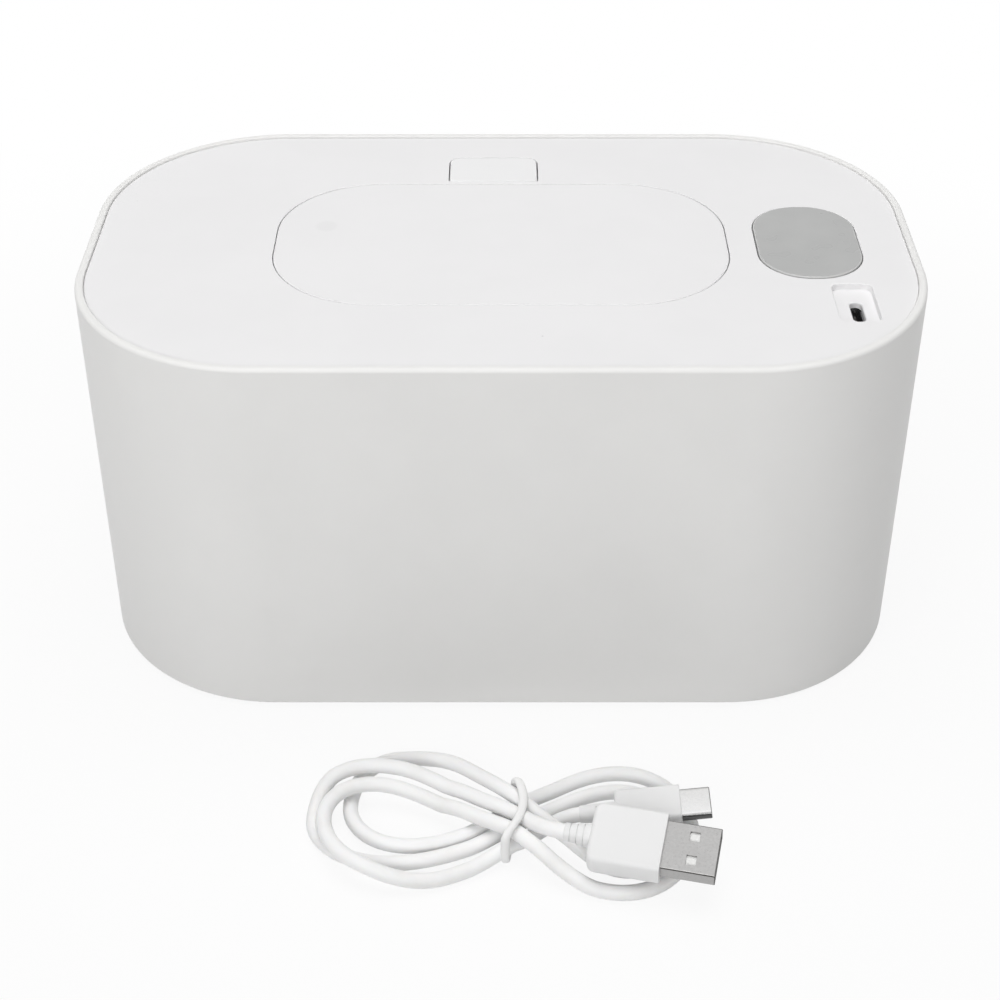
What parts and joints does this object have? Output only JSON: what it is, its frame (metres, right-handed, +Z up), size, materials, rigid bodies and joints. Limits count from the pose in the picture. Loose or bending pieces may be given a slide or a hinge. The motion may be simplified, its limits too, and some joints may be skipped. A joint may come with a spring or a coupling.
{
  "type": "baby wipe warmer",
  "caption": "Rounded white tub with a heated lift-off lid, a flush pop-up flap worked by a push button, a display window, a power socket, and a tied loose power lead.",
  "frame": {"origin": "on the surface it stands on, under the centre of the tub", "axes": "+Z up, +X towards the display and the power socket, -Y towards the user"},
  "size_m": [0.205, 0.1918, 0.0994],
  "materials": {
    "shell_white": "satin white ABS",
    "lid_white": "satin white ABS",
    "inner_white": "matt white ABS",
    "plug_white": "satin white PVC",
    "cord_white": "soft white PVC",
    "tie_white": "matt white PVC",
    "grey_plastic": "matt grey acetal",
    "foot_rubber": "matt grey rubber",
    "silicone": "translucent-looking silicone",
    "aluminium_plate": "brushed sheet",
    "heater_film": "amber film",
    "insulation_foam": "open foam",
    "epoxy_bead": "dipped epoxy",
    "fuse_case": "ceramic-looking case",
    "lead_red": "red insulation",
    "lead_black": "black insulation",
    "connector_ivory": "ivory nylon",
    "steel": "bright plated steel",
    "display_grey": "satin grey tinted window",
    "diffuser_white": "diffusing sheet",
    "module_grey": "segment display case",
    "board_green": "solder mask",
    "black_plastic": "moulded black",
    "ferrite": "ferrite block"
  },
  "bodies": {
    "base": {"tub": "shell_white", "foot_1": "foot_rubber", "foot_2": "foot_rubber", "foot_3": "foot_rubber", "foot_4": "foot_rubber", "cord_hank": "cord_white", "cord_tie": "tie_white", "small_plug_relief": "cord_white", "small_plug_body": "plug_white", "small_plug_shell": "steel", "flat_plug_relief": "cord_white", "flat_plug_body": "plug_white", "flat_plug_shell": "steel", "flat_plug_block": "plug_white"},
    "lid": {"lid_cover": "lid_white", "lid_base": "inner_white", "membrane_ring": "inner_white", "lid_gasket": "silicone", "wipe_membrane": "silicone", "heater_plate": "aluminium_plate", "heater_film": "heater_film", "insulation_pad": "insulation_foam", "thermistor": "epoxy_bead", "thermal_fuse": "fuse_case", "heater_lead_red": "lead_red", "heater_lead_black": "lead_black", "lead_connector": "connector_ivory", "hinge_pin": "steel", "flap_spring": "steel", "button_spring_left": "steel", "button_spring_right": "steel", "display_window": "display_grey", "display_diffuser": "diffuser_white", "display_module": "module_grey", "control_board": "board_green", "control_chip": "black_plastic", "power_inductor": "ferrite", "socket_shell": "steel", "socket_tongue": "black_plastic", "heater_screw_1": "steel", "heater_screw_2": "steel", "heater_screw_3": "steel", "heater_screw_4": "steel", "lid_screw_1": "steel", "lid_screw_2": "steel", "lid_screw_3": "steel", "lid_screw_4": "steel", "lid_screw_5": "steel", "lid_screw_6": "steel", "board_screw_1": "steel", "board_screw_2": "steel", "board_screw_3": "steel"},
    "flap": {"flap": "lid_white", "flap_seal": "silicone"},
    "button": {"release_button": "lid_white"},
    "latch": {"latch_slider": "grey_plastic", "latch_spring": "steel"}
  },
  "joints": [
    {"name": "lid_lift", "type": "slide", "parent": "base", "child": "lid", "axis": [0, 0, 1], "range_m": [0, 0.045]},
    {"name": "flap_hinge", "type": "hinge", "parent": "lid", "child": "flap", "pos_m": [0, -0.0375, 0.0938], "axis": [1, 0, 0], "range_deg": [0, 95]},
    {"name": "button_press", "type": "slide", "parent": "lid", "child": "button", "axis": [0, 0, -1], "range_m": [0, 0.002], "stiffness_N_per_m": 300, "springref_m": -0.0005, "deforming": ["button_spring_left", "button_spring_right"]},
    {"name": "latch_slide", "type": "slide", "parent": "lid", "child": "latch", "axis": [0, 1, 0], "range_m": [0, 0.002]}
  ],
  "couplings": [
    {"joint": "latch_slide", "follows": "button_press", "ratio": 1}
  ]
}
